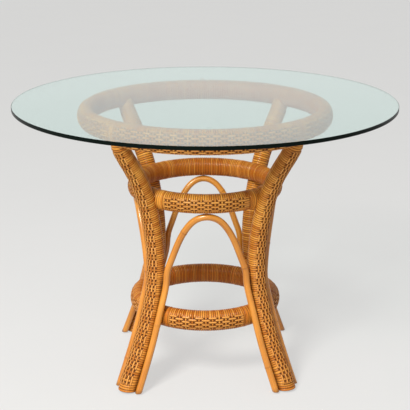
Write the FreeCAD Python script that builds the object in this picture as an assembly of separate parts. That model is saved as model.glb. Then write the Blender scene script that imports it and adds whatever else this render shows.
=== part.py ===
import FreeCAD, Part
import math
import os

os.makedirs("parts", exist_ok=True)

# A round glass dining table on a waisted rattan base. Millimetres, +Z up, the floor is z = 0,
# the middle of the table is x = y = 0 and the front looks along -Y.

# Glass top, lying loose on four soft bumpers.
TABLE_HEIGHT = 740.0
GLASS_DIAMETER = 1016.0
GLASS_THICKNESS = 10.0
GLASS_ARRIS = 1.2
BUMPER_DIAMETER = 14.0
BUMPER_RISE = 2.5

# The three hoops, oval poles that stand taller than they are wide, measured over their wrapping.
TOP_HOOP_DIAMETER = 630.0
TOP_HOOP_WIDTH = 46.0
TOP_HOOP_DEPTH = 58.0
MID_HOOP_HEIGHT = 509.0
MID_HOOP_WIDTH = 46.0
MID_HOOP_DEPTH = 53.0
MID_HOOP_NOTCH = 13.0
LOWER_HOOP_HEIGHT = 187.0
LOWER_HOOP_WIDTH = 47.0
LOWER_HOOP_DEPTH = 57.0
LOWER_HOOP_NOTCH = 20.4

# Wrapping of split peel around every thick pole.
PEEL_THICKNESS = 3.0

# Legs: round poles in the diagonal planes, thickness over the wrapping. A leg stands wide at the
# foot, is drawn in at the waist and flares out to the top hoop.
LEG_FOOT_THICKNESS = 55.0
LEG_WAIST_THICKNESS = 49.0
LEG_TOP_THICKNESS = 45.0
FOOT_SPREAD = 586.0
WAIST_SPREAD = 375.0
WAIST_HEIGHT = 330.0

# The course of a leg: shares of the rise and of the change of spread, from the floor to the waist
# and from the waist to the top hoop.
lower_rise_shares = (0.017, 0.1818, 0.3788, 0.5667, 0.7273, 0.8636, 1.0)
lower_flare_shares = (1.0, 0.749, 0.4597, 0.2322, 0.0853, 0.019, 0.0)
upper_rise_shares = (0.1628, 0.324, 0.4825, 0.6464, 0.8079, 0.9208, 1.0)
upper_flare_shares = (0.0314, 0.114, 0.2439, 0.4447, 0.7373, 0.9302, 1.0)

# Bent bare poles, one arch between each pair of legs. Each limb follows its leg from the floor,
# turned about the leg from the tangent towards the middle by the angles below.
POLE_DIAMETER = 17.5
POLE_STANDOFF = 1.0
POLE_APEX_CLEARANCE = 0.3
LIMB_TURNS_DEGREES = (0.0, -1.0, -4.0, -6.0, -2.0, 6.0)
LIMB_TAIL_SHARE = 0.6
limb_standoff_shares = (1.0, 1.0, 1.0, 1.0, 1.6, 2.6)
arch_width_shares = (0.968, 0.884, 0.72, 0.488, 0.265)
arch_rise_shares = (0.17, 0.316, 0.568, 0.825, 0.955)
arch_lean_shares = (0.02, 0.11, 0.34, 0.655, 0.866)

# Peel lashings around the middle and lower hoops, on both sides of each leg.
LASHING_THICKNESS = 1.2
LASHING_CLEARANCE = 0.15
MID_LASHING_START_DEGREES = 6.8
MID_LASHING_WIDTH_DEGREES = 3.5
LOWER_LASHING_START_DEGREES = 12.2
LOWER_LASHING_WIDTH_DEGREES = 1.8

# Hidden fixings.
DOWEL_DIAMETER = 8.0
DOWEL_REACH = 9.0
TOP_DOWEL_LENGTH = 64.0
NAIL_DIAMETER = 2.5
NAIL_DEPTH_SHARE = 0.5
NAIL_STATIONS = (1, 4)

# Derived sizes.
SIDES = ("front_left", "front_right", "back_right", "back_left")
ARCHES = ("front", "right", "back", "left")
QUARTER_TURN = 90.0
HALF_SHARE = 0.5
HOOP_SEAM_DEGREES = QUARTER_TURN * HALF_SHARE * HALF_SHARE
TOP_HOOP_RADIUS = TOP_HOOP_DIAMETER * HALF_SHARE
FOOT_RADIUS = FOOT_SPREAD * HALF_SHARE
WAIST_RADIUS = WAIST_SPREAD * HALF_SHARE
GLASS_UNDERSIDE = TABLE_HEIGHT - GLASS_THICKNESS
TOP_HOOP_HEIGHT = GLASS_UNDERSIDE - BUMPER_RISE - TOP_HOOP_DEPTH * HALF_SHARE
POLE_RADIUS = POLE_DIAMETER * HALF_SHARE
DIAGONAL_SHARE = math.sqrt(HALF_SHARE)
OUTWARD = FreeCAD.Vector(-DIAGONAL_SHARE, -DIAGONAL_SHARE, 0)
ALONG_FRONT = FreeCAD.Vector(DIAGONAL_SHARE, -DIAGONAL_SHARE, 0)
UP = FreeCAD.Vector(0, 0, 1)
CENTRE = FreeCAD.Vector(0, 0, 0)


def smooth_curve(points):
    """A smooth curve through all the points."""
    curve = Part.BSplineCurve()
    curve.interpolate(points)
    return curve


def directions_at(curve, points):
    """The direction of a curve at each of its points."""
    return [curve.tangent(curve.parameter(point))[0] for point in points]


def round_pole(points, directions, radii, side):
    """A bent round pole: circles square to its course, all starting on the same side, lofted."""
    sections = []
    for point, direction, radius in zip(points, directions, radii):
        circle = Part.makeCircle(radius)
        square = FreeCAD.Rotation(direction.cross(side), side, direction, "ZYX")
        circle.Placement = FreeCAD.Placement(point, square)
        sections.append(Part.Wire(circle))
    return Part.makeLoft(sections, True)


def oval_face(radius, height, width, depth):
    """The oval section of a hoop, upright in the plane y = 0."""
    middle = FreeCAD.Vector(radius, 0, height)
    side = middle + FreeCAD.Vector(width * HALF_SHARE, 0, 0)
    crown = middle + UP * (depth * HALF_SHARE)
    longer, shorter = (crown, side) if depth >= width else (side, crown)
    return Part.Face(Part.Wire(Part.Ellipse(longer, shorter, middle).toShape()))


def hoop(radius, height, width, depth):
    """A full hoop of oval section, level at a given height, closed between a leg and an arch."""
    ring = oval_face(radius, height, width, depth).revolve(CENTRE, UP)
    ring.rotate(CENTRE, UP, HOOP_SEAM_DEGREES)
    return ring


def rod(start, end, diameter):
    """A plain round pin between two points."""
    run = end - start
    return Part.makeCylinder(diameter * HALF_SHARE, run.Length, start, run)


def turned(shape, quarters):
    """A copy of a shape turned about the middle of the table by quarter turns."""
    copy = shape.copy()
    copy.rotate(CENTRE, UP, QUARTER_TURN * quarters)
    return copy


def all_round(shape):
    """Four copies of a shape, one in each quarter."""
    return [turned(shape, quarter) for quarter in range(len(SIDES))]


def save(name, shape):
    """Writes one named piece of the table."""
    shape.exportStep("parts/" + name + ".step")


# The course of the front left leg and its thickness at each station.
leg_points = []
for rise, flare in zip(lower_rise_shares, lower_flare_shares):
    reach = WAIST_RADIUS + (FOOT_RADIUS - WAIST_RADIUS) * flare
    leg_points.append(OUTWARD * reach + UP * (WAIST_HEIGHT * rise))
for rise, flare in zip(upper_rise_shares, upper_flare_shares):
    reach = WAIST_RADIUS + (TOP_HOOP_RADIUS - WAIST_RADIUS) * flare
    leg_points.append(OUTWARD * reach + UP * (WAIST_HEIGHT + (TOP_HOOP_HEIGHT - WAIST_HEIGHT) * rise))
leg_curve = smooth_curve(leg_points)
leg_directions = directions_at(leg_curve, leg_points)


def leg_thickness(height):
    """Thickness over the wrapping, tapering from foot to waist and on to the top."""
    if height <= WAIST_HEIGHT:
        share = height / WAIST_HEIGHT
        return LEG_FOOT_THICKNESS + (LEG_WAIST_THICKNESS - LEG_FOOT_THICKNESS) * share
    share = (height - WAIST_HEIGHT) / (TOP_HOOP_HEIGHT - WAIST_HEIGHT)
    return LEG_WAIST_THICKNESS + (LEG_TOP_THICKNESS - LEG_WAIST_THICKNESS) * share


def leg_pole(less):
    """The leg as a smooth round pole, thinner all round by the given amount."""
    radii = [leg_thickness(point.z) * HALF_SHARE - less for point in leg_points]
    return round_pole(leg_points, leg_directions, radii, ALONG_FRONT)


def leg_middle(height):
    """The point where the leg's axis passes a height."""
    level = Part.Plane(UP * height, UP)
    meeting = leg_curve.intersectCS(level)[0][0]
    return FreeCAD.Vector(meeting.X, meeting.Y, meeting.Z)


# Hoops: the lower and middle ones run inside the legs, let into them by the notch depths.
def notched_radius(height, width, notch):
    """Centre radius of a hoop that is let into the legs at a height."""
    spread = leg_middle(height).dot(OUTWARD)
    return spread - (leg_thickness(height) + width) * HALF_SHARE + notch


MID_HOOP_RADIUS = notched_radius(MID_HOOP_HEIGHT, MID_HOOP_WIDTH, MID_HOOP_NOTCH)
LOWER_HOOP_RADIUS = notched_radius(LOWER_HOOP_HEIGHT, LOWER_HOOP_WIDTH, LOWER_HOOP_NOTCH)

hoops = {
    "top": (TOP_HOOP_RADIUS, TOP_HOOP_HEIGHT, TOP_HOOP_WIDTH, TOP_HOOP_DEPTH),
    "mid": (MID_HOOP_RADIUS, MID_HOOP_HEIGHT, MID_HOOP_WIDTH, MID_HOOP_DEPTH),
    "lower": (LOWER_HOOP_RADIUS, LOWER_HOOP_HEIGHT, LOWER_HOOP_WIDTH, LOWER_HOOP_DEPTH),
}
both_peels = PEEL_THICKNESS + PEEL_THICKNESS
wrapped_hoops = {name: hoop(*sizes) for name, sizes in hoops.items()}
hoop_cores = {
    name: hoop(radius, height, width - both_peels, depth - both_peels)
    for name, (radius, height, width, depth) in hoops.items()
}

# Dowels: from inside each hoop into the leg; the top ones run down the leg from the hoop.
dowels = {}
for name in ("mid", "lower"):
    radius, height, width, depth = hoops[name]
    start = OUTWARD * radius + UP * height
    end = leg_middle(height) + OUTWARD * DOWEL_REACH
    dowels[name] = rod(start, end, DOWEL_DIAMETER)
top_start = leg_points[-1]
top_run = leg_directions[-1] * -1
top_run.normalize()
dowels["top"] = rod(top_start, top_start + top_run * TOP_DOWEL_LENGTH, DOWEL_DIAMETER)

# The front arch: up the front left leg, over under the middle hoop and down the front right leg.
limb_points = []
for station, (degrees, share) in enumerate(zip(LIMB_TURNS_DEGREES, limb_standoff_shares)):
    inward = leg_directions[station].cross(ALONG_FRONT)
    if inward.dot(OUTWARD) > 0:
        inward = inward * -1
    turn = math.radians(degrees)
    reach = leg_thickness(leg_points[station].z) * HALF_SHARE + POLE_RADIUS + POLE_STANDOFF * share
    side = ALONG_FRONT * math.cos(turn) + inward * math.sin(turn)
    limb_points.append(leg_points[station] + side * reach)
spring = limb_points[-1]
apex_height = MID_HOOP_HEIGHT - MID_HOOP_DEPTH * HALF_SHARE - POLE_RADIUS - POLE_APEX_CLEARANCE
apex = FreeCAD.Vector(0, -MID_HOOP_RADIUS, apex_height)
shoulder_points = []
for width, rise, lean in zip(arch_width_shares, arch_rise_shares, arch_lean_shares):
    shoulder_points.append(FreeCAD.Vector(
        spring.x * width,
        spring.y + (apex.y - spring.y) * lean,
        spring.z + (apex.z - spring.z) * rise,
    ))
tail = limb_points[0] + (limb_points[0] - limb_points[1]) * LIMB_TAIL_SHARE
left_half = [tail] + limb_points + shoulder_points
right_half = [FreeCAD.Vector(-point.x, point.y, point.z) for point in reversed(left_half)]
arch_points = left_half + [apex] + right_half
arch_directions = directions_at(smooth_curve(arch_points), arch_points)
back_to_front = FreeCAD.Vector(0, 1, 0)
arch_pole = round_pole(arch_points, arch_directions, [POLE_RADIUS] * len(arch_points), back_to_front)

# Everything stands on the floor: poles are trimmed level with it.
below_floor = Part.makeBox(
    GLASS_DIAMETER, GLASS_DIAMETER, TABLE_HEIGHT,
    FreeCAD.Vector(-GLASS_DIAMETER * HALF_SHARE, -GLASS_DIAMETER * HALF_SHARE, -TABLE_HEIGHT),
)
arch_pole = arch_pole.cut(below_floor)

# Nails fix the two limbs beside the front left leg, one of the front arch and one of the left
# arch, and one upright nail holds the top of the front arch to the middle hoop.
front_nails = []
for station in NAIL_STATIONS:
    run = leg_points[station] - limb_points[station]
    outer_end = limb_points[station] - run * (POLE_RADIUS * NAIL_DEPTH_SHARE / run.Length)
    inner_end = leg_points[station] - run * (NAIL_DEPTH_SHARE * HALF_SHARE)
    front_nails.append(rod(outer_end, inner_end, NAIL_DIAMETER))
left_nails = [
    nail.mirror(CENTRE, FreeCAD.Vector(DIAGONAL_SHARE, -DIAGONAL_SHARE, 0)) for nail in front_nails
]
leg_nails = front_nails + left_nails
front_right_nails = [nail.mirror(CENTRE, FreeCAD.Vector(1, 0, 0)) for nail in front_nails]
apex_nail = rod(
    apex - UP * (POLE_RADIUS * NAIL_DEPTH_SHARE),
    apex + UP * ((MID_HOOP_HEIGHT - apex_height) * NAIL_DEPTH_SHARE),
    NAIL_DIAMETER,
)

# Legs: coped under the top hoop, notched around the other two, trimmed level at the floor.
leg_core = leg_pole(PEEL_THICKNESS)
leg_wrap = leg_pole(0).cut(leg_core)
for name in hoops:
    leg_core = leg_core.cut(wrapped_hoops[name])
    leg_wrap = leg_wrap.cut(wrapped_hoops[name])
leg_core = leg_core.cut(below_floor)
leg_wrap = leg_wrap.cut(below_floor)
for pin in list(dowels.values()) + leg_nails:
    leg_core = leg_core.cut(pin)
    leg_wrap = leg_wrap.cut(pin)
for pin in front_nails + front_right_nails + [apex_nail]:
    arch_pole = arch_pole.cut(pin)

for side, core, wrap in zip(SIDES, all_round(leg_core), all_round(leg_wrap)):
    save("leg_pole_" + side, core)
    save("leg_wrap_" + side, wrap)
for name, pole in zip(ARCHES, all_round(arch_pole)):
    save("arch_" + name, pole)
save("arch_nails", Part.makeCompound([
    nail for pin in leg_nails + [apex_nail] for nail in all_round(pin)
]))

hoop_pins = {name: all_round(dowel) for name, dowel in dowels.items()}
hoop_pins["mid"] = hoop_pins["mid"] + all_round(apex_nail)
for name in hoops:
    core = hoop_cores[name]
    wrap = wrapped_hoops[name].cut(core)
    for pin in hoop_pins[name]:
        core = core.cut(pin)
        wrap = wrap.cut(pin)
    save(name + "_hoop_pole", core)
    save(name + "_hoop_wrap", wrap)
    save(name + "_hoop_dowels", Part.makeCompound(all_round(dowels[name])))


def lashing(hoop_name, start_degrees, width_degrees):
    """Two collars of peel around a hoop, one on each side of the front left leg."""
    radius, height, width, depth = hoops[hoop_name]
    room = LASHING_CLEARANCE + LASHING_CLEARANCE
    both_sides = room + LASHING_THICKNESS + LASHING_THICKNESS
    section = oval_face(radius, height, width + both_sides, depth + both_sides)
    section = section.cut(oval_face(radius, height, width + room, depth + room))
    collar = section.revolve(CENTRE, UP, width_degrees)
    leg_degrees = math.degrees(math.atan2(OUTWARD.y, OUTWARD.x))
    collars = []
    for begin in (start_degrees, -start_degrees - width_degrees):
        copy = collar.copy()
        copy.rotate(CENTRE, UP, leg_degrees + begin)
        collars.append(copy)
    return Part.makeCompound(collars)


lashings = {
    "mid": lashing("mid", MID_LASHING_START_DEGREES, MID_LASHING_WIDTH_DEGREES),
    "lower": lashing("lower", LOWER_LASHING_START_DEGREES, LOWER_LASHING_WIDTH_DEGREES),
}
for name, pair in lashings.items():
    for side, collars in zip(SIDES, all_round(pair)):
        save(name + "_lashing_" + side, collars)

# The glass and the soft bumpers it lies on.
glass = Part.makeCylinder(
    GLASS_DIAMETER * HALF_SHARE, GLASS_THICKNESS, FreeCAD.Vector(0, 0, GLASS_UNDERSIDE))
rims = [edge for edge in glass.Edges if edge.Closed and len(edge.Vertexes) == 1]
glass = glass.makeChamfer(GLASS_ARRIS, rims)
save("glass_top", glass)

bumper = Part.makeCylinder(
    BUMPER_DIAMETER * HALF_SHARE, BUMPER_RISE + BUMPER_RISE,
    FreeCAD.Vector(0, -TOP_HOOP_RADIUS, GLASS_UNDERSIDE - BUMPER_RISE - BUMPER_RISE))
bumper = bumper.cut(wrapped_hoops["top"])
save("glass_bumpers", Part.makeCompound(all_round(bumper)))
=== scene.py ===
# %% [markdown]
# # A rattan dining table
# The base is bent rattan: thick poles wound with split peel, a band of peel woven lengthways over
# the outer side of every leg and hoop, and bare bent poles as arches between the legs. A round
# sheet of glass lies loose on top. The construction arrives as a fixed frame of solids in metres,
# and every surface below is worked out over those solids, so nothing has to be moved into place
# afterwards.

# %% Load the frame
import bpy
import numpy as np
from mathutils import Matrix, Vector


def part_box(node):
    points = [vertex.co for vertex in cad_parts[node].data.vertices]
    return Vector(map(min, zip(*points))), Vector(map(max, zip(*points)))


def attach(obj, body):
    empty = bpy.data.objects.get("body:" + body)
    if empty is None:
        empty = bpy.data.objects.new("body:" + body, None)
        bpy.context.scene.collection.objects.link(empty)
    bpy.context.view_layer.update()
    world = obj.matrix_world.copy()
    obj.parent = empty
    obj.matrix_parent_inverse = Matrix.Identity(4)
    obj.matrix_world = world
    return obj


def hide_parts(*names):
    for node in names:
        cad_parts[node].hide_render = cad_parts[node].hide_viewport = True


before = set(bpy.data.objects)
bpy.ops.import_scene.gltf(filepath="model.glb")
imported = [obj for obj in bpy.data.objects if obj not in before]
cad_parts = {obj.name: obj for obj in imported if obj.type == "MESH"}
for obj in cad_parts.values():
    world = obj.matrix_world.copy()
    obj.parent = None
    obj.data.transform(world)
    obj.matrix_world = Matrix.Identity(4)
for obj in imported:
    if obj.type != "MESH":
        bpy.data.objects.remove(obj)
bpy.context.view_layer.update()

MM = 0.001
SEED = 11
draw = np.random.default_rng(SEED)
print("the frame has", len(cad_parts), "nodes")

# %% [markdown]
# ## The camera
# The photograph was taken from a little above the table, straight at its front, with a long lens.
# A camera could be aimed by hand, but its place was solved from the round glass and the feet
# instead, so the sizes of the table and the picture agree.

# %% Camera
CAMERA_PLACE = (-0.0763, -3.0279, 1.3666)
CAMERA_TURN_DEGREES = (73.16, 0.0, -1.44)
CAMERA_LENS = 102.13

camera = bpy.data.objects.new("camera", bpy.data.cameras.new("camera"))
camera.location = CAMERA_PLACE
camera.rotation_euler = np.radians(CAMERA_TURN_DEGREES)
camera.data.lens = CAMERA_LENS
camera.data.sensor_fit = "HORIZONTAL"
bpy.context.collection.objects.link(camera)
bpy.context.scene.camera = camera
bpy.context.scene.view_settings.view_transform = "Standard"
print("camera at", CAMERA_PLACE, "lens", CAMERA_LENS)

# %% [markdown]
# ## Putting a surface into a mesh
# Every piece here is a grid of points worked out by numpy. A mesh could be built face by face in a
# loop, but that is slow for hundreds of thousands of faces, so the points, the corners of the faces
# and the marks that the materials read are handed over as whole arrays.

# %% From grids to shells
def grid_faces(rows, columns, ring_rows=False):
    """Four corners for each cell of a grid whose columns close into a ring, and rows if asked."""
    row = np.arange(rows if ring_rows else rows - 1)[:, None]
    column = np.arange(columns)[None, :]
    next_row = (row + 1) % rows
    next_column = (column + 1) % columns
    corners = np.broadcast_arrays(
        row * columns + column, row * columns + next_column,
        next_row * columns + next_column, next_row * columns + column)
    return np.stack(corners, -1).reshape(-1, 4)


def as_shell(points, faces, marks):
    """A shell: points, faces and marks, with grids of points and marks laid out as plain lists."""
    lists = {key: values.reshape(-1, 3) if values.ndim == 3 else values.ravel()
             for key, values in marks.items()}
    return points.reshape(-1, 3), faces, lists


def ring_shell(grid, marks):
    """A shell from a grid that closes on itself both ways."""
    return as_shell(grid, [grid_faces(*grid.shape[:2], ring_rows=True)], marks)


def joined(shells):
    """Several shells as one, with the corner numbers moved along."""
    start = np.cumsum([0] + [len(shell[0]) for shell in shells[:-1]])
    points = np.concatenate([shell[0] for shell in shells])
    faces = [face + first for shell, first in zip(shells, start) for face in shell[1]]
    marks = {key: np.concatenate([shell[2][key] for shell in shells]) for key in shells[0][2]}
    return points, faces, marks


print("a tube of 3 rings with 4 points each has", len(grid_faces(3, 4)), "faces")

# %% From a shell to a piece
def make_piece(name, shell, material, nodes, body="base"):
    """A piece from one shell, dressed in a material, on a body, standing for CAD nodes."""
    points, faces, marks = shell
    corners = np.concatenate([face.ravel() for face in faces])
    sizes = np.concatenate([np.full(len(face), face.shape[1]) for face in faces])
    mesh = bpy.data.meshes.new(name)
    mesh.vertices.add(len(points))
    mesh.vertices.foreach_set("co", np.ascontiguousarray(points, dtype=np.float32).ravel())
    mesh.loops.add(len(corners))
    mesh.loops.foreach_set("vertex_index", corners.astype(np.int32))
    mesh.polygons.add(len(sizes))
    mesh.polygons.foreach_set("loop_start", (np.cumsum(sizes) - sizes).astype(np.int32))
    mesh.polygons.foreach_set("use_smooth", np.ones(len(sizes), dtype=bool))
    for key, values in marks.items():
        is_vector = values.ndim == 2
        layer = mesh.attributes.new(key, "FLOAT_VECTOR" if is_vector else "FLOAT", "POINT")
        flat = np.ascontiguousarray(values, dtype=np.float32).ravel()
        layer.data.foreach_set("vector" if is_vector else "value", flat)
    mesh.update(calc_edges=True)
    mesh.materials.append(material)
    piece = bpy.data.objects.new(name, mesh)
    bpy.context.collection.objects.link(piece)
    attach(piece, body)
    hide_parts(*nodes)
    print(name, int((sizes - 2).sum()), "triangles")
    return piece


# %% [markdown]
# ## Finishes
# Rattan peel is the glossy skin of the vine, split into strips. It shows long fine fibres and
# differs in tone from strip to strip. Its gaps, the grooves between turns and the side facing
# inward are painted darker, as shade. Every strip carries its own lengthways and crossways measure
# as a mark on the mesh, so the fibres follow the strip round the pole, which no flat or boxed
# projection could do.

# %% Helpers for shader nodes
def paint(red, green, blue):
    """A colour as it looks on screen, 0 to 255, in the linear values that shaders use."""
    seen = np.array((red, green, blue)) / 255.0
    linear = np.where(seen <= 0.04045, seen / 12.92, ((seen + 0.055) / 1.055) ** 2.4)
    return (*linear, 1.0)


def plug(tree, node, sockets):
    """Each named socket of a node is set to a value, or linked to the socket given for it."""
    for key, value in sockets.items():
        if isinstance(value, bpy.types.NodeSocket):
            tree.links.new(value, node.inputs[key])
        else:
            node.inputs[key].default_value = value


def add(tree, kind, sockets=None, **settings):
    """A shader node with its settings and its sockets."""
    node = tree.nodes.new("ShaderNode" + kind)
    for key, value in settings.items():
        setattr(node, key, value)
    plug(tree, node, sockets or {})
    return node


def new_group(name, inputs, outputs):
    """An empty node group with named sockets: its tree, its input node and its output node."""
    tree = bpy.data.node_groups.new(name, "ShaderNodeTree")
    for way, sockets in (("INPUT", inputs), ("OUTPUT", outputs)):
        for label, kind, *value in sockets:
            socket = tree.interface.new_socket(label, in_out=way, socket_type="NodeSocket" + kind)
            if value:
                socket.default_value = value[0]
    return tree, tree.nodes.new("NodeGroupInput"), tree.nodes.new("NodeGroupOutput")


def new_material(name):
    """A new material, its tree, and its Principled shader, which is linked to the output."""
    material = bpy.data.materials.new(name)
    material.use_nodes = True
    return material, material.node_tree, material.node_tree.nodes["Principled BSDF"]


print("middle grey is", round(paint(128, 128, 128)[0], 3), "to a shader")

# %% Helpers for patterns
def maths(tree, operation, *values):
    """What an operation makes of numbers or sockets."""
    return add(tree, "Math", dict(enumerate(values)), operation=operation).outputs[0]


def ranged(tree, value, to_range, from_range=(0.0, 1.0)):
    """A value carried from one range to another and held there."""
    return add(tree, "MapRange", {
        "Value": value, "From Min": from_range[0], "From Max": from_range[1],
        "To Min": to_range[0], "To Max": to_range[1]}).outputs[0]


def mixed(tree, share, first, second):
    """The first colour at a share of nil, the second at one."""
    return add(tree, "MixRGB", {"Fac": share, "Color1": first, "Color2": second}).outputs[0]


def noise(tree, scale, detail=2.0, vector=None):
    """Soft noise, on Object coordinates unless another vector is given."""
    if vector is None:
        vector = add(tree, "TexCoord").outputs["Object"]
    sockets = {"Vector": vector, "Scale": scale, "Detail": detail}
    return add(tree, "TexNoise", sockets).outputs["Fac"]


def mark(tree, name):
    """A number that each point of the mesh carries under a name."""
    return add(tree, "Attribute", attribute_name=name).outputs["Fac"]


def streaks(tree, per_metre, detail):
    """Noise drawn out along a strip: the strip's own measures, each times a count per metre."""
    strip = add(tree, "Attribute", attribute_name="strip").outputs["Vector"]
    drawn = add(tree, "VectorMath", {0: strip, 1: per_metre}, operation="MULTIPLY")
    return noise(tree, 1.0, detail, drawn.outputs[0])


print("patterns: noise, streaks and marks")

# %% Fibres of the peel
FIBRES_PER_METRE = (22.0, 1500.0, 9.7)
FIBRE_DETAIL = 3.0
STAINS_PER_METRE = 14.0
STAIN_DETAIL = 4.0
STREAK_SHARE = 0.9
STAIN_SHARE = 0.5
PEEL_LEVELS = (0.25, 1.15)
PEEL_ROUGHNESS = (0.38, 0.56)

peel_fibres, given, result = new_group(
    "peel_fibres",
    [("Light", "Color"), ("Dark", "Color"), ("Hollow", "Color", paint(72, 29, 3)),
     ("Tone Spread", "Float"), ("Varnish", "Float")],
    [("Color", "Color"), ("Height", "Float"), ("Roughness", "Float"), ("Coat", "Float")])
given = given.outputs
# Painted shade: a mark that darkens the peel towards the shade colour in gaps, grooves and creases.
shade_and_node_stain = mark(peel_fibres, "shade_and_node_stain")
streak = streaks(peel_fibres, FIBRES_PER_METRE, FIBRE_DETAIL)
stain = noise(peel_fibres, STAINS_PER_METRE, STAIN_DETAIL)
level = maths(peel_fibres, "MULTIPLY", mark(peel_fibres, "tone"), given["Tone Spread"])
level = maths(peel_fibres, "MULTIPLY_ADD", streak, STREAK_SHARE, level)
level = maths(peel_fibres, "MULTIPLY_ADD", stain, STAIN_SHARE, level)
level = ranged(peel_fibres, level, (0.0, 1.0), PEEL_LEVELS)
peel_before_shade = mixed(peel_fibres, level, given["Dark"], given["Light"])
# The varnish coat is turned down where the painted shade lies.
unshaded = maths(peel_fibres, "SUBTRACT", 1.0, shade_and_node_stain)
plug(peel_fibres, result, {
    "Color": mixed(peel_fibres, shade_and_node_stain, peel_before_shade, given["Hollow"]),
    "Height": streak,
    "Roughness": ranged(peel_fibres, streak, PEEL_ROUGHNESS),
    "Coat": maths(peel_fibres, "MULTIPLY", unshaded, given["Varnish"])})
print("group", peel_fibres.name, "with", len(peel_fibres.nodes), "nodes")

# %% Peel materials
FIBRE_DEPTH = 0.12 * MM
PEEL_SHADER = {"Specular IOR Level": 0.12, "Coat Roughness": 0.18}


def grained_material(name, group, given, fixed):
    """A material whose colour, gloss and shallow bump come from a group, with fixed values too."""
    material, tree, shader = new_material(name)
    found = add(tree, "Group", given, node_tree=group).outputs
    bump = add(tree, "Bump", {"Height": found["Height"], "Distance": FIBRE_DEPTH})
    plug(tree, shader, {"Base Color": found["Color"], "Roughness": found["Roughness"],
                        "Normal": bump.outputs["Normal"], **fixed})
    if "Coat" in found:
        tree.links.new(found["Coat"], shader.inputs["Coat Weight"])
    return material


def peel_material(name, light, dark, tone_spread, varnish):
    """Peel in a light and a dark tone, with painted shade that also turns the varnish down."""
    given = {"Light": light, "Dark": dark, "Tone Spread": tone_spread, "Varnish": varnish}
    return grained_material(name, peel_fibres, given, PEEL_SHADER)


winding_peel = peel_material("winding_peel", paint(242, 168, 72), paint(178, 94, 18), 0.28, 0.2)
strand_peel = peel_material("strand_peel", paint(242, 170, 84), paint(184, 102, 26), 0.3, 0.25)
lashing_peel = peel_material("lashing_peel", paint(236, 162, 68), paint(174, 90, 16), 0.28, 0.2)
print("three peels from one group")

# %% [markdown]
# ## The course of a pole
# A wound pole is a round section carried along a course. For a hoop the course is a circle. For a
# leg it is a smooth curve through a few stations, the same ones that the solid was made from. A
# curve object with a bevel would give a plain tube, but windings and weaving need to know, at every
# point, how far along and how far round the pole they are. So a course is a function: a length goes
# in, and the place on the axis and the outward and sideways directions come out.

# %% A smooth curve
FINE_STEPS = 40
COURSE_SAMPLES = 400


def read_along(length, lengths, table):
    """A table of vectors, read off between its rows at any length."""
    return np.stack([np.interp(length, lengths, column) for column in table.T], -1)


def smooth_curve(points, count=COURSE_SAMPLES):
    """A cubic spline through the points, read off at evenly spaced lengths.

    The parameter is the chord length. One linear system gives the bends at the points, so that
    slope and bend run on from span to span. The slope at each end is that of the cubic through the
    four points next to it, as in the construction.
    """
    spans = np.linalg.norm(np.diff(points, axis=0), axis=1)
    knots = np.concatenate(([0.0], np.cumsum(spans)))
    slopes = np.diff(points, axis=0) / spans[:, None]
    first_slope = np.polyfit(knots[:4] - knots[0], points[:4], 3)[-2]
    last_slope = np.polyfit(knots[-4:] - knots[-1], points[-4:], 3)[-2]
    slopes = np.concatenate(([first_slope], slopes, [last_slope]))
    system = np.diag(2 * (np.append(spans, 0.0) + np.append(0.0, spans)))
    system += np.diag(spans, 1) + np.diag(spans, -1)
    bends = np.linalg.solve(system, 6 * np.diff(slopes, axis=0))
    fine = np.linspace(0.0, knots[-1], FINE_STEPS * len(points))
    span = np.clip(np.searchsorted(knots, fine, "right") - 1, 0, len(spans) - 1)
    before = (knots[span + 1] - fine)[:, None]
    after = (fine - knots[span])[:, None]
    width = spans[span][:, None]
    curve = (bends[span] * before ** 3 + bends[span + 1] * after ** 3) / (6 * width)
    curve += (points[span] / width - bends[span] * width / 6) * before
    curve += (points[span + 1] / width - bends[span + 1] * width / 6) * after
    steps = np.linalg.norm(np.diff(curve, axis=0), axis=1)
    lengths = np.concatenate(([0.0], np.cumsum(steps)))
    even = np.linspace(0.0, lengths[-1], count)
    return even, read_along(even, lengths, curve), np.interp(knots, fine, lengths)


print("a curve is read off at", COURSE_SAMPLES, "places")

# %% Courses
UP = np.array((0.0, 0.0, 1.0))


def unit(vectors):
    """Vectors of length one along the given ones."""
    return vectors / np.linalg.norm(vectors, axis=-1, keepdims=True)


def full_turn(sides):
    """Angles of evenly spaced points once round."""
    return np.linspace(0.0, 2 * np.pi, sides + 1)[:-1]


def from_outward(turn):
    """How far a turn is from straight outward, either way: nil to half a round."""
    return np.abs((turn + np.pi) % (2 * np.pi) - np.pi)


def bent_course(lengths, places, side):
    """A course along a bent pole: place, outward and sideways directions at any length.

    Forward is the slope of the places. Outward is the given side turned a quarter about forward,
    and sideways closes the right-handed set, so outward x sideways = forward. Lengths below nil
    run straight on before the first place.
    """
    forward = unit(np.gradient(places, axis=0))
    outward = unit(np.cross(side, forward))
    sideways = np.cross(forward, outward)

    def course(length):
        before = np.minimum(length, 0.0)[..., None] * forward[0]
        place, *directions = (read_along(length, lengths, table)
                              for table in (places, outward, sideways))
        return place + before, *directions

    return course


def hoop_course(radius, height, face_radius, oval):
    """A course round a level hoop: lengths are measured on the outer face, outward is radial.

    The section is oval: sideways keeps its length and outward is shortened to width / depth.
    """
    def course(length):
        angle = np.asarray(length) / face_radius
        outward = np.stack((np.cos(angle), np.sin(angle), np.zeros_like(angle)), -1)
        sideways = np.broadcast_to(-UP, outward.shape)
        return outward * radius + UP * height, outward * oval, sideways

    return course


def on_course(course, length, turn, radius):
    """Points at a length along the course, turned about it from outward, at a radius from it.

    Point = place + (outward * cos(turn) + sideways * sin(turn)) * radius.
    """
    length, turn, radius = np.broadcast_arrays(length, turn, radius)
    place, outward, sideways = course(length)
    swing = outward * np.cos(turn)[..., None] + sideways * np.sin(turn)[..., None]
    return place + swing * radius[..., None]


print("half round a hoop of 1 m:", hoop_course(1.0, 0.0, 1.0, 1.0)(np.pi)[0].round(3))
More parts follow.
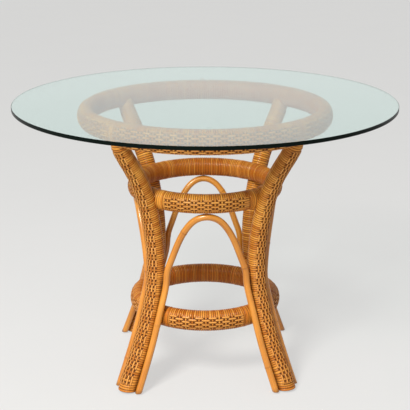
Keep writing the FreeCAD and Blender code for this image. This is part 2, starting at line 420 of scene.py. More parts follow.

# %% [markdown]
# ## Windings and weaving
# The maker winds a strip of peel round the pole, turn against turn, and on the outer side feeds in
# several strands lengthways: each one runs over five turns and dips under the sixth, and its
# neighbour dips three turns later. Two things make that read as weaving and not as a print: the
# turn that crosses a strand stands up over it, and beside the crossing there is a pit, which is
# painted dark as shade. The winding is one ribbed sleeve whose height follows those rules, and the
# strands are ribbons of their own that float above it and dive at the crossings.

# %% Laying out turns and strands
TURN_PITCH = 6.0 * MM
TURN_SPREAD = 0.18 * MM
TURNS_PER_REPEAT = 6
END_GAP_SHARE = 0.4
POINTS_PER_STRAND = 4
PLAIN_STEP = np.radians(14.8)


def turn_edges(length, turns):
    """Where one turn of the winding ends and the next begins, a little uneven, as by hand."""
    edges = np.linspace(0.0, length, turns + 1)
    edges[1:-1] += draw.normal(0.0, TURN_SPREAD, turns - 1)
    return edges


def crossings(start, end, repeat, row):
    """Lengths at which one strand dips under: its two ends, and between them every repeat.

    Odd rows are shifted by half a repeat. A dip that would fall too near an end is left out.
    """
    first = start + repeat * (0.5 if row % 2 else 1.0)
    inner = np.arange(first, end, repeat)
    inner = inner[end - inner > END_GAP_SHARE * repeat]
    return np.concatenate(([start], inner, [end]))


def distance_to(length, dips):
    """Distance from each length to the nearest dip."""
    return np.abs(length[:, None] - dips[None, :]).min(1)


def around(rows, spacing):
    """Turns about the pole: a few to each strand on the woven side, wider ones on the rest."""
    edge = rows * spacing / 2
    woven = np.linspace(-edge, edge, rows * POINTS_PER_STRAND + 1)
    steps = int(round((2 * np.pi - 2 * edge) / PLAIN_STEP))
    plain = np.linspace(edge, 2 * np.pi - edge, steps + 1)[1:-1]
    return np.concatenate((woven, plain))


print("a strand dips every", TURN_PITCH * TURNS_PER_REPEAT / MM, "mm")

# %% The winding
TURN_SAMPLES = np.array((0.0, 0.12, 0.34, 0.66, 0.88))
GROOVE_DEPTH = 1.3 * MM
GROOVE_POWER = 5
SHADE_POWER = 3
CREST_BELOW_SOLID = 0.7 * MM
CREST_SPREAD = 0.1 * MM
CROSSING_RISE = 1.0 * MM
CROSSING_REACH = 2.4 * MM
HOLLOW_DEPTH = 1.8 * MM
HOLLOW_OFFSET = 5.0 * MM
HOLLOW_REACH = 2.7 * MM
HOLLOW_SHADE = 1.1
TUCK_LENGTH = 6.0 * MM
BAND_EDGE_ROWS = 0.01
UNDER_BAND_SHADE = 0.6
CREASE_TURN = np.radians(90.0)
CREASE_REACH = np.radians(16.0)
CREASE_SHADE = 0.9
CREASE_FADE_TURNS = 4
PLATEAU_POWER = 4
FAR_AWAY = 1.0


def winding(course, edges, solid_radius, weave, bands, inner_shade,
            lean=0.0, lift=None, crease_end=0.0):
    """A ribbed sleeve of peel round a course, with hollows and risen turns where strands dip.

    Radius = solid radius - clearance - groove * |2p - 1|^5 with p the place within one turn, plus
    a rounded rise on the turn over each dip, less a rounded pit on either side of it. Up to the
    crease end, painted shade darkens the two lines at which a bare pole lies against the winding.
    The grooves, the pits, the winding under the strands and the side facing inward are painted
    darker too, as shade.
    """
    rows, spacing, width = weave
    turns = len(edges) - 1
    share = np.tile(TURN_SAMPLES, turns)
    index = np.repeat(np.arange(turns), len(TURN_SAMPLES))
    length = edges[index] + share * np.diff(edges)[index]
    turn = around(rows, spacing)
    radius = solid_radius(length)
    groove = np.abs(2 * share - 1) ** GROOVE_POWER
    shade = np.abs(2 * share - 1) ** SHADE_POWER
    crest = draw.normal(0.0, CREST_SPREAD, turns)[index]

    row = np.clip(np.floor(turn / spacing + rows / 2), 0, rows - 1).astype(int)
    across = (turn - (row + 0.5 - rows / 2) * spacing)[None, :] * radius[:, None]
    away = np.full((rows, len(length)), FAR_AWAY)
    inside = np.zeros((rows, len(length)), dtype=bool)
    for band in bands:
        for number, dips in enumerate(band):
            away[number] = np.minimum(away[number], distance_to(length, dips))
            inside[number] |= (length > dips[0] + TUCK_LENGTH) & (length < dips[-1] - TUCK_LENGTH)
    away = away[row].T
    inside = inside[row].T
    beside = np.exp(-(across / (width / 2)) ** PLATEAU_POWER)
    rise = beside * np.exp(-(away / CROSSING_REACH) ** PLATEAU_POWER)
    pit = inside * beside * np.exp(-((away - HOLLOW_OFFSET) / HOLLOW_REACH) ** PLATEAU_POWER)
    height = radius[:, None] - CREST_BELOW_SOLID + crest[:, None] * (1 - groove)[:, None]
    height = height - GROOVE_DEPTH * groove[:, None] * (1 - pit)
    height = height + CROSSING_RISE * rise - HOLLOW_DEPTH * pit

    leaned = turn[None, :] + lean
    at = length[:, None]
    if lift is not None:
        at = lift(at, leaned, height)
    points = on_course(course, at, leaned, height)
    round_way = from_outward(turn)[None, :] * radius[:, None]
    in_band = np.abs(turn) < (rows - BAND_EDGE_ROWS) * spacing / 2
    # Painted shade: the winding under the woven band, and a painted shadow in the crease where a
    # bare pole lies against a leg.
    under = UNDER_BAND_SHADE * inside * in_band * (1 - rise)
    crease = np.exp(-((from_outward(leaned) - CREASE_TURN) / CREASE_REACH) ** 2)
    fade = np.clip((crease_end - length) / TURN_PITCH / CREASE_FADE_TURNS, 0, 1)
    painted_shade = np.maximum(under, CREASE_SHADE * crease * fade[:, None])
    # Painted shade: darker in the grooves and pits, and lower in tone on the side facing inward.
    tone = draw.uniform(-1, 1, turns)[index][:, None]
    dark = pit * HOLLOW_SHADE + shade[:, None] * (1 - pit)
    marks = {
        "strip": np.stack(np.broadcast_arrays(round_way, at, index[:, None]), -1),
        "tone": tone - inner_shade * (1 - np.cos(leaned)) / 2,
        "shade_and_node_stain": np.clip(np.maximum(painted_shade, dark), 0, 1),
    }
    return points, marks


print("a turn has", len(TURN_SAMPLES), "rings and a groove of", GROOVE_DEPTH / MM, "mm")

# %% The strands
STRAND_STEP = 1.6 * MM
STRAND_LEAST_STEPS = 8
STRAND_RISE = 1.5 * MM
STRAND_SINK = 1.8 * MM
STRAND_EDGE_SHADE = 0.7
STRAND_EDGE_POWER = 3
STRAND_WANDER = 0.25 * MM
STRAND_WANDER_RUN = 17 * MM
DIVE_START = 9.0 * MM
DIVE_END = 6.2 * MM
DIVE_NARROWING = 0.2
DIVE_SHADE_START = 8.2 * MM
DIVE_SHADE_RUN = 1.0 * MM
STRIP_NUMBERS = 900
strand_width_shares = np.array((-1.0, -0.74, 0.0, 0.74, 1.0, 0.8, 0.0, -0.8))
strand_drops = np.array((0.75, 0.28, 0.0, 0.28, 0.75, 1.3, 1.3, 1.3)) * MM
strand_end_faces = np.array(((0, 1, 6, 7), (1, 2, 5, 6), (2, 3, 4, 5)))


def strand(course, dips, row, solid_radius, weave, lean=0.0, lift=None):
    """One ribbon along a course: it floats over the winding and dives under it at each dip.

    Height = float height less a smooth step of the distance to the nearest dip. The section is a
    low dome of five points over three points of a flat back.
    """
    rows, spacing, width = weave
    steps = max(int((dips[-1] - dips[0]) / STRAND_STEP), STRAND_LEAST_STEPS)
    length = np.linspace(dips[0], dips[-1], steps + 1)
    away = distance_to(length, dips)
    dive = np.clip((DIVE_START - away) / (DIVE_START - DIVE_END), 0, 1)
    dive = dive * dive * (3 - 2 * dive)
    radius = solid_radius(length) - CREST_BELOW_SOLID
    top = radius + STRAND_RISE * (1 - dive) - STRAND_SINK * dive
    wander = STRAND_WANDER * np.sin(length / STRAND_WANDER_RUN + draw.uniform(0, 2 * np.pi))
    half_width = (width / 2) * (1 - DIVE_NARROWING * dive)
    across = strand_width_shares * half_width[:, None] + wander[:, None]
    turn = (row + 0.5 - rows / 2) * spacing + lean + across / radius[:, None]
    height = top[:, None] - strand_drops
    at = length[:, None]
    if lift is not None:
        at = lift(at, turn, height)
    count = len(strand_drops)
    faces = [grid_faces(steps + 1, count), strand_end_faces[:, ::-1],
             strand_end_faces + steps * count]
    number = draw.integers(0, STRIP_NUMBERS)
    # Painted shade: dark where a strand dives under a turn, and along both of its edges.
    dark = np.clip((DIVE_SHADE_START - away) / DIVE_SHADE_RUN, 0, 1)[:, None]
    edge_dark = STRAND_EDGE_SHADE * np.abs(strand_width_shares) ** STRAND_EDGE_POWER
    marks = {
        "strip": np.stack(np.broadcast_arrays(length[:, None], across, number), -1),
        "tone": np.full(turn.shape, draw.uniform(-1, 1)),
        "shade_and_node_stain": np.maximum(dark, edge_dark),
    }
    return as_shell(on_course(course, at, turn, height), faces, marks)


print("a strand floats", STRAND_RISE / MM, "mm over the turns")

# %% [markdown]
# ## The three hoops
# Each hoop is a pole bent into a ring. Its place and depth are read from the solid. On the middle
# and lower hoops the weaving stops short of every leg, where plain turns are wound close for the
# lashing. A torus with a bump map would look flat from the side, so the turns are real ribs.

# %% Hoops
LEG_AZIMUTHS = {"front_left": 225.0, "front_right": 315.0, "back_right": 45.0, "back_left": 135.0}
PEEL_DEPTH = 3.0 * MM
HOOP_ROW_SPACING = np.radians(12.0)
HOOP_STRAND_WIDTH = 4.8 * MM
HOOP_INNER_SHADE = 1.5
HOOP_WALL_STEPS = 180
HOOP_WALL_SIDES = 24
hoop_rows = {"top": 9, "mid": 6, "lower": 6}
hoop_widths = {"top": 46.0 * MM, "mid": 46.0 * MM, "lower": 47.0 * MM}
hoop_turns = {"top": 360, "mid": 216, "lower": 216}
weave_start_degrees = {"top": 0.5, "mid": 10.8, "lower": 14.2}
weave_lean_degrees = {"top": 5.0, "mid": 0.0, "lower": 0.0}
hoop_sizes = {}


def wall_marks(points):
    """The marks of an inner wall, which is dark all over."""
    shape = points.shape[:2]
    # Painted shade: the inner wall is dark all over.
    return {"strip": points, "tone": np.zeros(shape), "shade_and_node_stain": np.ones(shape)}


def hollow_ring(course, face_length, radius):
    """The inner wall of a hoop's winding: a plain ring facing the pole inside it."""
    length = np.linspace(0.0, face_length, HOOP_WALL_STEPS + 1)[:-1]
    points = on_course(course, length[:, None], -full_turn(HOOP_WALL_SIDES), radius)
    return ring_shell(points, wall_marks(points))


for hoop, turns in hoop_turns.items():
    low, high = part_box(hoop + "_hoop_wrap")
    width = hoop_widths[hoop]
    depth = high.z - low.z
    height = (high.z + low.z) / 2
    ring_radius = high.x - width / 2
    hoop_sizes[hoop] = (ring_radius, height, width, depth)
    face_radius = high.x
    face_length = 2 * np.pi * face_radius
    course = hoop_course(ring_radius, height, face_radius, width / depth)
    repeat = face_length * TURNS_PER_REPEAT / turns
    clear = np.radians(weave_start_degrees[hoop]) * face_radius
    bands = []
    for azimuth in LEG_AZIMUTHS.values():
        start = np.radians(azimuth) * face_radius + clear
        end = start + face_length / 4 - 2 * clear
        bands.append([crossings(start, end, repeat, row) for row in range(hoop_rows[hoop])])

    def solid_radius(length, value=depth / 2):
        return np.full_like(length, value)

    edges = turn_edges(face_length, turns)
    lapped = [[dips - face_length for dips in band] for band in bands]
    lean = np.radians(weave_lean_degrees[hoop])
    weave = (hoop_rows[hoop], HOOP_ROW_SPACING, HOOP_STRAND_WIDTH)
    skin, marks = winding(course, edges, solid_radius, weave, bands + lapped,
                          HOOP_INNER_SHADE, lean)
    wall = hollow_ring(course, face_length, depth / 2 - PEEL_DEPTH)
    make_piece(hoop + "_hoop_windings", joined([ring_shell(skin, marks), wall]), winding_peel,
               [hoop + "_hoop_wrap"])
    strands = joined([strand(course, dips, row, solid_radius, weave, lean)
                      for band in bands for row, dips in enumerate(band)])
    make_piece(hoop + "_hoop_strands", strands, strand_peel, [hoop + "_hoop_wrap"])

# %% [markdown]
# ## The four legs
# A leg leaves the floor well out, sweeps in to a waist and flares out again to carry the top hoop.
# It grows a little thinner upwards. Its band of strands faces outward, turned a little towards the
# left or right side of the table, and stops a turn or two above the floor. The foot is sawn off
# nearly level.

# %% The course of a leg
FOOT_SPREAD = 586.0 * MM
WAIST_SPREAD = 375.0 * MM
WAIST_HEIGHT = 330.0 * MM
FOOT_THICKNESS = 55.0 * MM
WAIST_THICKNESS = 49.0 * MM
LEG_TOP_THICKNESS = 45.0 * MM
lower_rise_shares = np.array((0.017, 0.1818, 0.3788, 0.5667, 0.7273, 0.8636, 1.0))
lower_flare_shares = np.array((1.0, 0.749, 0.4597, 0.2322, 0.0853, 0.019, 0.0))
upper_rise_shares = np.array((0.1628, 0.324, 0.4825, 0.6464, 0.8079, 0.9208, 1.0))
upper_flare_shares = np.array((0.0314, 0.114, 0.2439, 0.4447, 0.7373, 0.9302, 1.0))
top_ring_radius, top_height, _, top_depth = hoop_sizes["top"]
leg_heights = np.concatenate((
    WAIST_HEIGHT * lower_rise_shares,
    WAIST_HEIGHT + (top_height - WAIST_HEIGHT) * upper_rise_shares))
leg_reaches = np.concatenate((
    WAIST_SPREAD / 2 + (FOOT_SPREAD - WAIST_SPREAD) / 2 * lower_flare_shares,
    WAIST_SPREAD / 2 + (top_ring_radius - WAIST_SPREAD / 2) * upper_flare_shares))
leg_thickness = np.interp(leg_heights, (0.0, WAIST_HEIGHT, top_height),
                          (FOOT_THICKNESS, WAIST_THICKNESS, LEG_TOP_THICKNESS))


def leg_stations(azimuth):
    """The stations of the leg at an azimuth, from the foot to the top hoop, and outward."""
    angle = np.radians(azimuth)
    outward = np.array((np.cos(angle), np.sin(angle), 0.0))
    return leg_reaches[:, None] * outward + leg_heights[:, None] * UP, outward


def square_out(places, outward):
    """The directions square to a leg's course that look outward."""
    return unit(np.cross(np.cross(UP, outward), np.gradient(places, axis=0)))


print("a leg passes", len(leg_heights), "stations")

# %% The bulge of a foot
BULGE_TOP = 150.0 * MM
BULGE_STEP = 10.0 * MM
BULGE_WINDOW = 9


def foot_bulge(solid, azimuth):
    """How far the solid of a leg stands outside its course near the foot, at each length.

    For each step of length: bulge = sum(beyond * share) / sum(share^2), with beyond = distance
    from the course - radius, and share = the outward part of that distance. Above the steps it
    falls to nil, and a running mean smooths it.
    """
    stations, outward = leg_stations(azimuth)
    lengths, places, station_lengths = smooth_curve(stations)
    points = np.empty(len(solid.data.vertices) * 3, dtype=np.float32)
    solid.data.vertices.foreach_get("co", points)
    points = points.reshape(-1, 3)
    points = points[points[:, 2] < BULGE_TOP]
    nearest = np.linalg.norm(points[:, None] - places[None], axis=-1).argmin(1)
    apart = points - places[nearest]
    distance = np.linalg.norm(apart, axis=1)
    share = (apart * square_out(places, outward)[nearest]).sum(1) / distance
    radius = np.interp(lengths[nearest], station_lengths, leg_thickness / 2) - PEEL_DEPTH
    beyond = distance - radius
    kept = (nearest > 0) & (np.abs(beyond) < PEEL_DEPTH)
    step = (lengths[nearest] / BULGE_STEP).astype(int)[kept]
    mean = np.bincount(step, (beyond * share)[kept]) / np.bincount(step, (share ** 2)[kept])
    middles = (np.arange(len(mean) + 2) + 0.5) * BULGE_STEP
    bulge = np.interp(lengths, middles, np.append(mean, (0.0, 0.0)))
    bulge = np.pad(bulge, BULGE_WINDOW // 2, mode="edge")
    return np.convolve(bulge, np.full(BULGE_WINDOW, 1 / BULGE_WINDOW), mode="valid")


leg_bulge = foot_bulge(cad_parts["leg_pole_front_left"], LEG_AZIMUTHS["front_left"])
print("a foot bulges", round(leg_bulge.max() / MM, 2), "mm outward")

# %% Legs
LEG_ROWS = 11
LEG_WEAVE = (LEG_ROWS, np.radians(11.0), 4.4 * MM)
LEG_END_IN_HOOP = 10.0 * MM
LEG_WEAVE_START = 10.0 * MM
LEG_INNER_SHADE = 0.2
LEG_CREASE_END = 320.0 * MM
LEG_WALL_STEPS = 60
FOOT_BLEND = 60.0 * MM
FOOT_CUT_SLOPE = 0.12
FOOT_HEEL_REACH = 267.0 * MM
weave_turn_degrees = {"front_left": -9.0, "front_right": 9.0, "back_right": -9.0, "back_left": 9.0}

for side, azimuth in LEG_AZIMUTHS.items():
    stations, outward = leg_stations(azimuth)
    lean = np.radians(weave_turn_degrees[side])
    lengths, places, station_lengths = smooth_curve(stations)
    places = places + leg_bulge[:, None] * square_out(places, outward)
    course = bent_course(lengths, places, np.cross(UP, outward))
    length = lengths[-1] - LEG_END_IN_HOOP

    def solid_radius(at, known=station_lengths):
        return np.interp(at, known, leg_thickness / 2)

    def lift_foot(at, turn, radius, course=course, outward=outward):
        """Rows near the foot are drawn onto the saw cut, a plane that rises outward.

        Height over the cut = z - slope * (reach - reach of the heel). A row starts where it is nil.
        """
        first = on_course(course, np.zeros_like(at), turn, radius)
        _, outward_low, sideways_low = course(np.zeros(1))
        forward = np.cross(outward_low, sideways_low)[0]
        over = first[..., 2] - FOOT_CUT_SLOPE * (first @ outward - FOOT_HEEL_REACH)
        start = -over / (forward[2] - FOOT_CUT_SLOPE * (forward @ outward))
        share = np.clip(at / FOOT_BLEND, 0, 1)
        return np.where(at < FOOT_BLEND, start + (FOOT_BLEND - start) * share, at)

    end = length + LEG_END_IN_HOOP - top_depth / 2
    repeat = TURN_PITCH * TURNS_PER_REPEAT
    rows = [crossings(LEG_WEAVE_START, end, repeat, row) for row in range(LEG_ROWS)]
    edges = turn_edges(length, int(round(length / TURN_PITCH)))
    skin, marks = winding(course, edges, solid_radius, LEG_WEAVE, [rows], LEG_INNER_SHADE,
                          lean, lift_foot, LEG_CREASE_END)
    wall_length = np.linspace(length, 0.0, LEG_WALL_STEPS)[:, None]
    wall_turn = around(*LEG_WEAVE[:2])[None, :] + lean
    wall_radius = solid_radius(wall_length) - PEEL_DEPTH
    wall_at = lift_foot(wall_length, wall_turn, wall_radius)
    wall = on_course(course, wall_at, wall_turn, wall_radius)
    marks = {key: np.concatenate((marks[key], more)) for key, more in wall_marks(wall).items()}
    make_piece("leg_windings_" + side, ring_shell(np.concatenate((skin, wall)), marks),
               winding_peel, ["leg_wrap_" + side])
    strands = joined([strand(course, dips, row, solid_radius, LEG_WEAVE, lean, lift_foot)
                      for row, dips in enumerate(rows)])
    make_piece("leg_strands_" + side, strands, strand_peel, ["leg_wrap_" + side])

# %% [markdown]
# ## The bent poles of the arches
# Between each pair of legs a bare pole climbs from the floor beside one leg, bends over under the
# middle hoop and comes down beside the next. It is a thin rattan cane with its skin on: varnished,
# honey coloured, faintly ringed where leaves once grew. A tube along a curve would do for a plain
# rod, but the rings swell and stain the cane, so it is worked out as a grid too. The course repeats
# the construction: limb points turned about the leg, then five shoulder points and the top.

# %% Cane grain
GRAIN_PER_METRE = (9.0, 420.0, 3.1)
GRAIN_DETAIL = 4.0
CLOUDS_PER_METRE = 11.0
CLOUD_DETAIL = 3.0
CANE_LEVELS = (0.7, 1.3)
CANE_ROUGHNESS = (0.24, 0.4)
CANE_COAT_ROUGHNESS = 0.12

cane_grain, given, result = new_group(
    "cane_grain",
    [("Light", "Color"), ("Dark", "Color"), ("Ring", "Color", paint(120, 66, 20))],
    [("Color", "Color"), ("Height", "Float"), ("Roughness", "Float")])
given = given.outputs
grain = streaks(cane_grain, GRAIN_PER_METRE, GRAIN_DETAIL)
cloud = noise(cane_grain, CLOUDS_PER_METRE, CLOUD_DETAIL)
level = ranged(cane_grain, maths(cane_grain, "ADD", grain, cloud), (0.0, 1.0), CANE_LEVELS)
plain_cane = mixed(cane_grain, level, given["Dark"], given["Light"])
plug(cane_grain, result, {
    "Color": mixed(cane_grain, mark(cane_grain, "shade_and_node_stain"), plain_cane, given["Ring"]),
    "Height": grain,
    "Roughness": ranged(cane_grain, grain, CANE_ROUGHNESS)})


def cane_material(name, light, dark, varnish):
    """Cane with grain along the pole, dark rings at the nodes and an even coat of varnish."""
    fixed = {"Coat Weight": varnish, "Coat Roughness": CANE_COAT_ROUGHNESS}
    return grained_material(name, cane_grain, {"Light": light, "Dark": dark}, fixed)


bare_cane = cane_material("bare_cane", paint(222, 148, 52), paint(182, 106, 24), 0.25)
raw_core = cane_material("raw_core", paint(206, 160, 100), paint(170, 120, 66), 0.0)
print("bare cane and raw core")

# %% The course of an arch
POLE_DIAMETER = 17.5 * MM
POLE_STANDOFF = 1.0 * MM
POLE_APEX_CLEARANCE = 0.3 * MM
LIMB_TURNS_DEGREES = (0.0, -1.0, -4.0, -6.0, -2.0, 6.0)
limb_standoff_shares = (1.0, 1.0, 1.0, 1.0, 1.6, 2.6)
LIMB_TAIL_SHARE = 0.6
arch_width_shares = np.array((0.968, 0.884, 0.72, 0.488, 0.265))
arch_rise_shares = np.array((0.17, 0.316, 0.568, 0.825, 0.955))
arch_lean_shares = np.array((0.02, 0.11, 0.34, 0.655, 0.866))
mid_ring_radius, mid_height, _, mid_depth = hoop_sizes["mid"]


def arch_points():
    """The points of the front arch, from below the floor on the left to below it on the right."""
    leg, outward = leg_stations(LEG_AZIMUTHS["front_left"])
    along_front = np.cross(UP, outward)
    lengths, places, station_lengths = smooth_curve(leg)
    slopes = unit(np.gradient(places, axis=0))
    limb = []
    for station, (degrees, share) in enumerate(zip(LIMB_TURNS_DEGREES, limb_standoff_shares)):
        slope = read_along(station_lengths[station], lengths, slopes)
        inward = np.cross(slope, along_front)
        inward = inward * -np.sign(inward @ outward)
        angle = np.radians(degrees)
        reach = leg_thickness[station] / 2 + POLE_DIAMETER / 2 + POLE_STANDOFF * share
        limb.append(leg[station] + (along_front * np.cos(angle) + inward * np.sin(angle)) * reach)
    spring = limb[-1]
    apex_height = mid_height - mid_depth / 2 - POLE_DIAMETER / 2 - POLE_APEX_CLEARANCE
    apex = np.array((0.0, -mid_ring_radius, apex_height))
    shoulder = np.stack((
        spring[0] * arch_width_shares,
        spring[1] + (apex[1] - spring[1]) * arch_lean_shares,
        spring[2] + (apex[2] - spring[2]) * arch_rise_shares), -1)
    tail = limb[0] + (limb[0] - limb[1]) * LIMB_TAIL_SHARE
    left = np.concatenate(([tail], limb, shoulder))
    right = left[::-1] * np.array((-1.0, 1.0, 1.0))
    return np.concatenate((left, [apex], right))


arch_course_points = arch_points()
print("an arch passes", len(arch_course_points), "points")

# %% Arches
POLE_SIDES = 24
ARCH_SAMPLES = 420
ARCH_RINGS = 300
LIMB_END_HEIGHT = 5.0 * MM
NODE_SPACING = 260.0 * MM
NODE_SPREAD = 20.0 * MM
NODE_SWELL = 0.7 * MM
NODE_REACH = 3 * MM
NODE_STAIN = 0.5
NODE_STAIN_REACH = 1.6 * MM
first_node_shares = (0.3, 0.9)
GRAIN_STARTS = 9
ARCHES = ("front", "right", "back", "left")


def arch_shell(points):
    """A round pole along the arch, swollen a little at its nodes and cut level above the floor.

    Radius = half the thickness + swell * exp(-(distance to a node / reach)^2). The first and last
    rings are slid along the pole to where it was sawn off, just above the floor.
    """
    lengths, places, _ = smooth_curve(points, ARCH_SAMPLES)
    course = bent_course(lengths, places, np.array((0.0, 1.0, 0.0)))
    above = lengths[places[:, 2] > LIMB_END_HEIGHT + POLE_DIAMETER / 2]
    ring_at = np.linspace(above[0], above[-1], ARCH_RINGS)
    first_node = ring_at[0] + draw.uniform(*first_node_shares) * NODE_SPACING
    nodes = np.arange(first_node, ring_at[-1], NODE_SPACING)
    nodes = nodes + draw.normal(0.0, NODE_SPREAD, len(nodes))
    from_node = distance_to(ring_at, nodes)
    radius = POLE_DIAMETER / 2 + NODE_SWELL * np.exp(-(from_node / NODE_REACH) ** 2)
    turn = full_turn(POLE_SIDES)
    shell = on_course(course, ring_at[:, None], turn[None, :], radius[:, None])
    slopes = unit(np.gradient(places, axis=0))
    ends = []
    for ring, at in ((shell[0], ring_at[0]), (shell[-1], ring_at[-1])):
        slope = slopes[np.searchsorted(lengths, at) - 1]
        ends.append(ring - slope * ((ring[:, 2] - LIMB_END_HEIGHT) / slope[2])[:, None])
    shell = np.concatenate(([ends[0]], shell, [ends[1]]))
    rows = len(shell)
    cap = np.arange(POLE_SIDES)[None, :]
    faces = [grid_faces(rows, POLE_SIDES), cap[:, ::-1], cap + (rows - 1) * POLE_SIDES]
    at = np.concatenate(([ring_at[0]], ring_at, [ring_at[-1]]))[:, None]
    from_node = np.concatenate(([FAR_AWAY], from_node, [FAR_AWAY]))
    folded = from_outward(turn)[None, :] * POLE_DIAMETER / 2
    stain = NODE_STAIN * np.exp(-(from_node / NODE_STAIN_REACH) ** 2)
    marks = {
        "strip": np.stack(np.broadcast_arrays(at, folded, draw.uniform(0, GRAIN_STARTS)), -1),
        "tone": np.zeros((rows, POLE_SIDES)),
        "shade_and_node_stain": np.broadcast_to(stain[:, None], (rows, POLE_SIDES)),
    }
    return as_shell(shell, faces, marks)


def turned(points, quarters):
    """Points turned about the middle of the table by quarter turns: x, y becomes -y, x."""
    for _ in range(quarters):
        points = np.stack((-points[:, 1], points[:, 0], points[:, 2]), -1)
    return points


for quarter, name in enumerate(ARCHES):
    points, faces, marks = arch_shell(arch_course_points)
    make_piece("arch_pole_" + name, (turned(points, quarter), faces, marks), bare_cane,
               ["arch_" + name])

# %% [markdown]
# ## Lashings
# Beside each leg one or two more turns of peel are wound round the hoop to lock the joint. They
# could be painted on, but they lie over the winding, so a lashing is a short ribbed sleeve of its
# own, hardly thicker than the winding under it.

# %% Lashings
LASHING_RISE = -0.4 * MM
LASHING_GROOVE = 0.9 * MM
LASHING_SHADE = 0.8
LASHING_SIDES = 48
lashing_start_degrees = {"mid": 6.8, "lower": 12.2}
lashing_width_degrees = {"mid": 3.5, "lower": 1.8}
lashing_turns = {"mid": 2, "lower": 1}


def lashing_shell(hoop, start_degrees):
    """One or two ribbed turns round a hoop: radius = hoop + rise - groove * |2p - 1|^5."""
    ring_radius, height, width, depth = hoop_sizes[hoop]
    turns = lashing_turns[hoop]
    course = hoop_course(ring_radius, height, 1.0, width / depth)
    share = np.tile(TURN_SAMPLES, turns)
    index = np.repeat(np.arange(turns), len(TURN_SAMPLES))
    groove = np.append(np.abs(2 * share - 1) ** GROOVE_POWER, 1.0)[:, None]
    place = np.append((index + share) / turns, 1.0)[:, None]
    turn = full_turn(LASHING_SIDES)
    at = np.radians(start_degrees + place * lashing_width_degrees[hoop])
    outer = on_course(course, at, turn, depth / 2 + LASHING_RISE - LASHING_GROOVE * groove)
    inner = on_course(course, at, turn, depth / 2 - PEEL_DEPTH / 2)
    folded = from_outward(turn) * depth / 2
    # Painted shade: the grooves and the side facing inward are darker.
    tone = draw.uniform(-1, 1, turns)[np.append(index, index[-1])][:, None]
    marks = {
        "strip": np.stack(np.broadcast_arrays(folded, at * ring_radius, start_degrees), -1),
        "tone": tone - HOOP_INNER_SHADE * (1 - np.cos(turn)) / 2,
        "shade_and_node_stain": np.broadcast_to(LASHING_SHADE * groove, outer.shape[:2]),
    }
    marks = {key: np.concatenate((values, values[::-1])) for key, values in marks.items()}
    return ring_shell(np.concatenate((outer, inner[::-1])), marks)


for hoop, start in lashing_start_degrees.items():
    for side, azimuth in LEG_AZIMUTHS.items():
        begins = (azimuth + start, azimuth - start - lashing_width_degrees[hoop])
        make_piece(hoop + "_lashing_turns_" + side,
                   joined([lashing_shell(hoop, begin) for begin in begins]), lashing_peel,
                   [hoop + "_lashing_" + side])

# %% [markdown]
# ## The glass
# A sheet of float glass with a ground edge. Seen at a low angle its face throws back a good part of
# the bright surroundings, and light that has crossed the whole sheet comes out of the edge dark
# green. The face is a real refracting shader. It can't darken the edge, because its tint doesn't
# grow with the length of glass that light crosses. So the edge is its own material, dark from
# outside and clear from within, and the far edge doesn't show as a black line through the sheet.

# %% Glass materials
GLASS_IOR = 1.5
GLASS_HAZE = (0.0, 0.004)
SMUDGES_PER_METRE = 7.0
SMUDGE_DETAIL = 5.0
EDGE_BLOTCHES_PER_METRE = 60.0
EDGE_ROUGHNESS = 0.3
EDGE_SPECULAR = 0.06


def blend_surface(tree, share, first, second):
    """The first shader at a share of nil and the second at one, as the material's surface."""
    mix = add(tree, "MixShader", {0: share, 1: first.outputs[0], 2: second.outputs[0]})
    tree.links.new(mix.outputs[0], tree.nodes["Material Output"].inputs["Surface"])


sheet_glass, tree, shader = new_material("sheet_glass")
smudge = noise(tree, SMUDGES_PER_METRE, SMUDGE_DETAIL)
plug(tree, shader, {
    "Base Color": paint(200, 223, 217), "Roughness": ranged(tree, smudge, GLASS_HAZE),
    "Transmission Weight": 1.0, "IOR": GLASS_IOR})
# Lamp and bounced light pass straight through, so that the sheet throws no dark shadow.
path = add(tree, "LightPath").outputs
clear = add(tree, "BsdfTransparent", {"Color": paint(244, 250, 248)})
passing = maths(tree, "MAXIMUM", path["Is Shadow Ray"], path["Is Diffuse Ray"])
blend_surface(tree, passing, shader, clear)

edge_glass, tree, shader = new_material("edge_glass")
blotch = noise(tree, EDGE_BLOTCHES_PER_METRE)
plug(tree, shader, {
    "Base Color": mixed(tree, blotch, paint(2, 8, 5), paint(7, 17, 12)),
    "Roughness": EDGE_ROUGHNESS, "Specular IOR Level": EDGE_SPECULAR})
clear = add(tree, "BsdfTransparent", {"Color": paint(160, 180, 172)})
blend_surface(tree, add(tree, "NewGeometry").outputs["Backfacing"], shader, clear)
print("glass for the sheet and for its edge")

# %% Glass sheet
GLASS_ARRIS = 1.2 * MM
GLASS_SIDES = 360


def glass_shell():
    """A disc turned from its half profile: flat faces, a narrow arris and an upright edge."""
    low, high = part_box("glass_top")
    radius = high.x
    out = np.array((radius - GLASS_ARRIS, radius, radius, radius - GLASS_ARRIS))[:, None]
    up = np.array((low.z, low.z + GLASS_ARRIS, high.z - GLASS_ARRIS, high.z))[:, None]
    angle = full_turn(GLASS_SIDES)
    points = np.stack(np.broadcast_arrays(out * np.cos(angle), out * np.sin(angle), up), -1)
    disc = np.arange(GLASS_SIDES)[None, :]
    top_ring = (len(out) - 1) * GLASS_SIDES
    return as_shell(points, [grid_faces(len(out), GLASS_SIDES), disc[:, ::-1], disc + top_ring], {})


sheet = make_piece("glass_sheet", glass_shell(), sheet_glass, ["glass_top"], body="glass")
sheet.data.materials.append(edge_glass)
face_count = len(sheet.data.polygons)
is_edge = np.arange(face_count) < face_count - 2
sheet.data.polygons.foreach_set("material_index", is_edge.astype(np.int32))
sheet.data.polygons.foreach_set("use_smooth", np.zeros(face_count, dtype=bool))

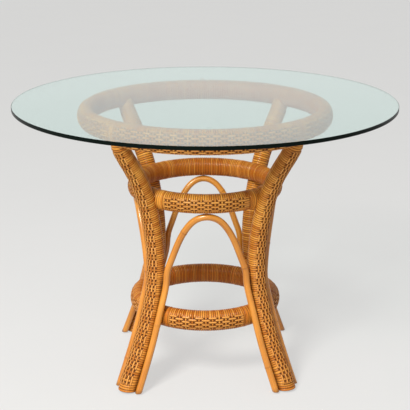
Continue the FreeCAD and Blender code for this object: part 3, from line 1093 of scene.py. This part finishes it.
# %% [markdown]
# ## Hidden pieces
# The poles inside the windings, the dowels, the nails and the soft bumpers under the glass keep
# their solids, because nothing of their shape is left to add. They only need a finish. The bumpers
# are clear, so that they hardly show through the glass.

# %% Finishes for the solids
SCRATCHES_PER_METRE = 900.0
NAIL_ROUGHNESS = (0.3, 0.5)
BUMPER_CLOUDS_PER_METRE = 300.0
BUMPER_ALPHA = (0.08, 0.16)
BUMPER_ROUGHNESS = 0.3

nail_steel, tree, shader = new_material("nail_steel")
scratch = noise(tree, SCRATCHES_PER_METRE)
plug(tree, shader, {"Base Color": paint(150, 150, 148), "Metallic": 1.0,
                    "Roughness": ranged(tree, scratch, NAIL_ROUGHNESS)})

soft_bumper, tree, shader = new_material("soft_bumper")
milk = noise(tree, BUMPER_CLOUDS_PER_METRE)
plug(tree, shader, {
    "Base Color": mixed(tree, milk, paint(226, 232, 230), paint(240, 244, 242)),
    "Alpha": ranged(tree, milk, BUMPER_ALPHA), "Roughness": BUMPER_ROUGHNESS})

solid_finishes = {"pole": raw_core, "dowels": raw_core, "nails": nail_steel, "bumpers": soft_bumper}
for name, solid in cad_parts.items():
    for word in solid_finishes.keys() & name.split("_"):
        solid.data.materials.clear()
        solid.data.materials.append(solid_finishes[word])
print("solids finished")

# %% [markdown]
# ## Floor and light
# A pale floor that runs out of the picture on every side stands in for a studio. A backdrop could
# be built, but a floor that is veiled in white where it is seen fades into the sky by itself. Most
# of the light is soft and comes from above and the left, as in the photograph, so the right sides
# of the legs fall into shade.

# %% Floor
FLOOR_REACH = 40.0
FLOOR_VEIL = 0.62
FLOOR_BLOTCHES_PER_METRE = 3.0
FLOOR_ROUGHNESS = 0.8


def seen_rays(tree):
    """One for rays that end in the picture, straight, mirrored or through glass, and else nil."""
    path = add(tree, "LightPath").outputs
    seen = maths(tree, "MAXIMUM", path["Is Camera Ray"], path["Is Glossy Ray"])
    return maths(tree, "MAXIMUM", seen, path["Is Transmission Ray"])


floor_mesh = bpy.data.meshes.new("floor")
floor_mesh.from_pydata(
    [(-FLOOR_REACH, -FLOOR_REACH, 0), (FLOOR_REACH, -FLOOR_REACH, 0),
     (FLOOR_REACH, FLOOR_REACH, 0), (-FLOOR_REACH, FLOOR_REACH, 0)], [], [(0, 1, 2, 3)])
floor = bpy.data.objects.new("floor", floor_mesh)
bpy.context.collection.objects.link(floor)
pale_floor, tree, shader = new_material("pale_floor")
mottle = noise(tree, FLOOR_BLOTCHES_PER_METRE)
plug(tree, shader, {
    "Base Color": mixed(tree, mottle, paint(200, 198, 194), paint(208, 206, 202)),
    "Roughness": FLOOR_ROUGHNESS})
white = add(tree, "Emission", {"Color": paint(244, 244, 243), "Strength": 1.0})
blend_surface(tree, maths(tree, "MULTIPLY", seen_rays(tree), FLOOR_VEIL), shader, white)
floor_mesh.materials.append(pale_floor)
print("a floor of", 2 * FLOOR_REACH, "m")

# %% Light
SKY_LIGHT = 0.32
LAMP_PLACE = (-1.5, -2.8, 3.2)
LAMP_AIM = (0.0, 0.0, 0.35)
LAMP_SIZE = 1.2
LAMP_POWER = 225.0

world = bpy.data.worlds.new("studio")
bpy.context.scene.world = world
world.use_nodes = True
tree = world.node_tree
plug(tree, tree.nodes["Background"], {
    "Color": (1.0, 1.0, 1.0, 1.0), "Strength": ranged(tree, seen_rays(tree), (SKY_LIGHT, 1.0))})

# A lamp looks along its own -z, so its axes are across, upward and backward.
forward = unit(np.array(LAMP_AIM) - np.array(LAMP_PLACE))
across = unit(np.cross(forward, UP))
turn = np.eye(4)
turn[:3, :3] = np.stack((across, np.cross(across, forward), -forward), -1)
turn[:3, 3] = LAMP_PLACE
lamp = bpy.data.lights.new("window_left", "AREA")
lamp.size = LAMP_SIZE
lamp.energy = LAMP_POWER
holder = bpy.data.objects.new("window_left", lamp)
holder.matrix_world = turn.T
bpy.context.collection.objects.link(holder)
print("one soft lamp and a pale sky")
